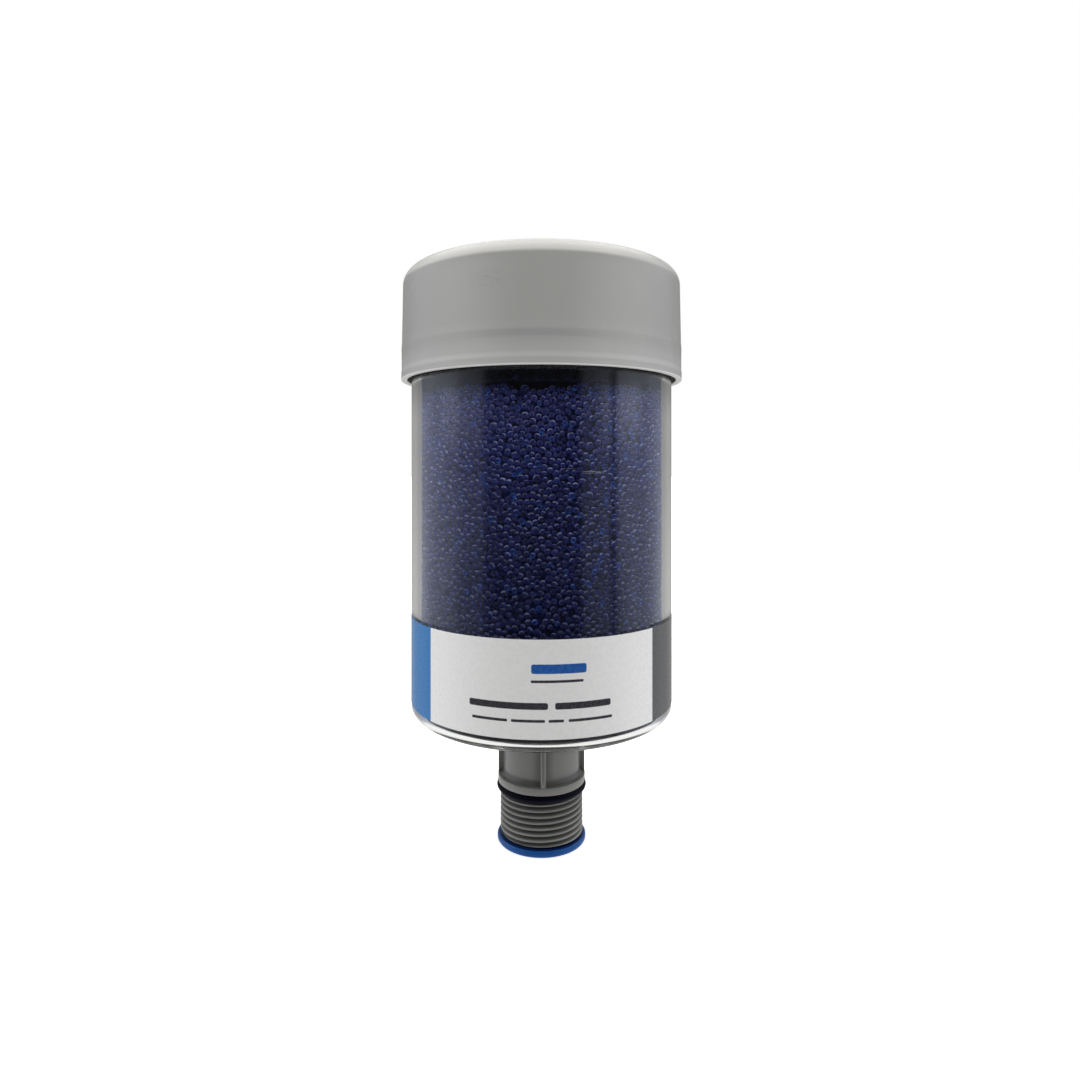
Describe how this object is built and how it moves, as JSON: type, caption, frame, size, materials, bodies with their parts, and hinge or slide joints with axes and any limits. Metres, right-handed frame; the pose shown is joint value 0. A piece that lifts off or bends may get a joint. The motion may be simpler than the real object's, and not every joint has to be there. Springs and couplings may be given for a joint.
{
  "type": "silica gel breather",
  "caption": "Screw-in drying breather: a clear cup of dark blue silica gel beads under a grey umbrella cap, on a ribbed, threaded stem with a sealing ring and a shipping plug.",
  "frame": {"origin": "on the stem's axis, at the upper end of the threaded wall", "axes": "+Z along the axis from the thread up to the cap; -Y is the front, where the white field of the label faces"},
  "size_m": [0.112, 0.112, 0.2271],
  "materials": {
    "cap_plastic": "satin moulded grey",
    "stem_plastic": "satin moulded grey",
    "grid_plastic": "moulded dark grey",
    "clear_plastic": "clear polished",
    "gel": "glassy dark blue beads",
    "filter_media": "pleated media",
    "foam": "open-cell foam",
    "label": "satin printed film",
    "seal_rubber": "satin rubber",
    "plug_plastic": "soft blue polyethylene"
  },
  "bodies": {
    "housing": {"top_retainer": "grid_plastic", "top_filter": "filter_media", "top_foam": "foam", "gel_bed": "gel", "body": "clear_plastic", "label": "label", "bottom_foam": "foam", "bottom_filter": "filter_media", "bottom_grid": "grid_plastic", "stem_nut": "stem_plastic", "stem_gasket": "seal_rubber", "stem": "stem_plastic", "o_ring": "seal_rubber"},
    "cap": {"cap": "cap_plastic"},
    "plug": {"shipping_plug": "plug_plastic"}
  },
  "joints": [
    {"name": "cap_lift", "type": "slide", "parent": "housing", "child": "cap", "axis": [0, 0, 1], "range_m": [0, 0.06]},
    {"name": "plug_pull", "type": "slide", "parent": "housing", "child": "plug", "axis": [0, 0, -1], "range_m": [0, 0.06]}
  ]
}
